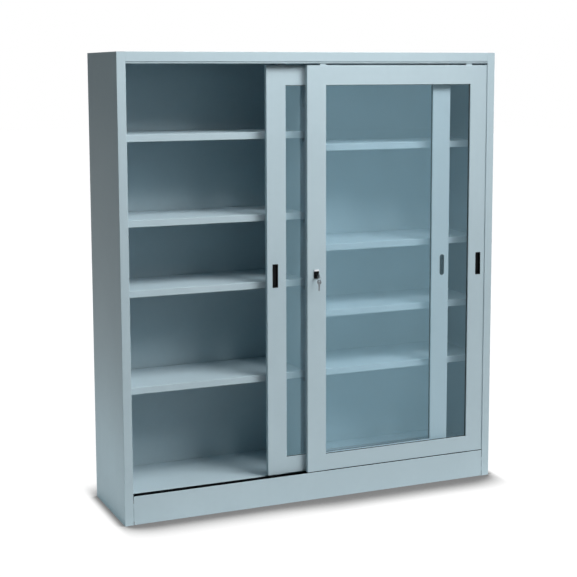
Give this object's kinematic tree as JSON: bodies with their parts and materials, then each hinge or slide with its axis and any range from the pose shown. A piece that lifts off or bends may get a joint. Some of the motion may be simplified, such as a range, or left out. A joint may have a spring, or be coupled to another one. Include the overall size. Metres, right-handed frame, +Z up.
{
  "type": "sliding door cabinet",
  "caption": "Tall sheet steel storage cabinet with two bays of adjustable shelves behind two framed glass doors that slide past each other, with flush pulls and a cam lock.",
  "frame": {"origin": "middle of the rectangle that the carcass stands on, at floor level", "axes": "+X to the right seen from the front, +Y from the doors to the back, +Z up"},
  "size_m": [1.8, 0.4861, 2],
  "materials": {
    "painted_steel": "light blue-grey powder coat, satin, fine texture",
    "glass": "clear float glass with a cool tint, polished",
    "black_rubber": "matt black rubber",
    "black_plastic": "black moulded plastic, satin",
    "black_nylon": "black nylon, satin",
    "white_nylon": "natural white nylon",
    "zinc_steel": "zinc plated steel",
    "chrome": "bright chrome plate",
    "key_metal": "nickel plated, lightly worn"
  },
  "bodies": {
    "cabinet": {"back_rivets": "zinc_steel", "bottom_track": "black_plastic", "centre_divider": "painted_steel", "door_buffers": "black_rubber", "floor_bearer": "painted_steel", "floor_panel": "painted_steel", "left_back_panel": "painted_steel", "left_door_jamb": "painted_steel", "left_shelf_1": "painted_steel", "left_shelf_2": "painted_steel", "left_shelf_3": "painted_steel", "left_shelf_4": "painted_steel", "left_shelf_racks": "painted_steel", "left_side_panel": "painted_steel", "plinth_brackets": "painted_steel", "plinth_front": "painted_steel", "plinth_rear": "painted_steel", "right_back_panel": "painted_steel", "right_door_jamb": "painted_steel", "right_shelf_1": "painted_steel", "right_shelf_2": "painted_steel", "right_shelf_3": "painted_steel", "right_shelf_4": "painted_steel", "right_shelf_racks": "painted_steel", "right_side_panel": "painted_steel", "roof_panel": "painted_steel", "shelf_clips": "zinc_steel", "top_track": "painted_steel"},
    "front_door": {"front_door_bottom_rail": "painted_steel", "front_door_gasket": "black_rubber", "front_door_glass": "glass", "front_door_guides": "black_nylon", "front_door_hanger_screws": "zinc_steel", "front_door_hangers": "painted_steel", "front_door_left_stile": "painted_steel", "front_door_pull": "black_plastic", "front_door_right_stile": "painted_steel", "front_door_top_rail": "painted_steel", "lock_plate": "black_plastic", "lock_trim": "chrome", "lock_barrel": "black_plastic"},
    "rear_door": {"rear_door_bottom_rail": "painted_steel", "rear_door_gasket": "black_rubber", "rear_door_glass": "glass", "rear_door_guides": "black_nylon", "rear_door_hanger_screws": "zinc_steel", "rear_door_hangers": "painted_steel", "rear_door_left_stile": "painted_steel", "rear_door_pulls": "black_plastic", "rear_door_right_stile": "painted_steel", "rear_door_top_rail": "painted_steel"},
    "lock_core": {"lock_plug": "black_plastic", "lock_cam": "zinc_steel", "lock_key": "key_metal"},
    "spare_keys": {"key_ring": "key_metal", "spare_key": "key_metal"},
    "front_door_left_roller_body": {"front_door_left_roller": "white_nylon"},
    "front_door_right_roller_body": {"front_door_right_roller": "white_nylon"},
    "rear_door_left_roller_body": {"rear_door_left_roller": "white_nylon"},
    "rear_door_right_roller_body": {"rear_door_right_roller": "white_nylon"}
  },
  "joints": [
    {"name": "front_door_slide", "type": "slide", "parent": "cabinet", "child": "front_door", "axis": [1, 0, 0], "range_m": [-0.819, 0]},
    {"name": "rear_door_slide", "type": "slide", "parent": "cabinet", "child": "rear_door", "axis": [1, 0, 0], "range_m": [-0.6393, 0.1797]},
    {"name": "lock_turn", "type": "hinge", "parent": "front_door", "child": "lock_core", "pos_m": [-0.0035, -0.2, 1.022], "axis": [0, 1, 0], "range_deg": [0, 90]},
    {"name": "spare_key_swing", "type": "hinge", "parent": "lock_core", "child": "spare_keys", "pos_m": [-0.0035, -0.2515, 1.022], "axis": [1, 0, 0], "range_deg": [-80, 15]},
    {"name": "front_door_left_roller_spin", "type": "hinge", "parent": "front_door", "child": "front_door_left_roller_body", "pos_m": [0.031, -0.2125, 1.978], "axis": [0, 1, 0], "continuous": true},
    {"name": "front_door_right_roller_spin", "type": "hinge", "parent": "front_door", "child": "front_door_right_roller_body", "pos_m": [0.767, -0.2125, 1.978], "axis": [0, 1, 0], "continuous": true},
    {"name": "rear_door_left_roller_spin", "type": "hinge", "parent": "rear_door", "child": "rear_door_left_roller_body", "pos_m": [-0.1487, -0.1825, 1.978], "axis": [0, 1, 0], "continuous": true},
    {"name": "rear_door_right_roller_spin", "type": "hinge", "parent": "rear_door", "child": "rear_door_right_roller_body", "pos_m": [0.5873, -0.1825, 1.978], "axis": [0, 1, 0], "continuous": true}
  ],
  "couplings": [
    {"joint": "front_door_left_roller_spin", "follows": "front_door_slide", "rad_per_m": 105.26},
    {"joint": "front_door_right_roller_spin", "follows": "front_door_slide", "rad_per_m": 105.26},
    {"joint": "rear_door_left_roller_spin", "follows": "rear_door_slide", "rad_per_m": 105.26},
    {"joint": "rear_door_right_roller_spin", "follows": "rear_door_slide", "rad_per_m": 105.26}
  ]
}
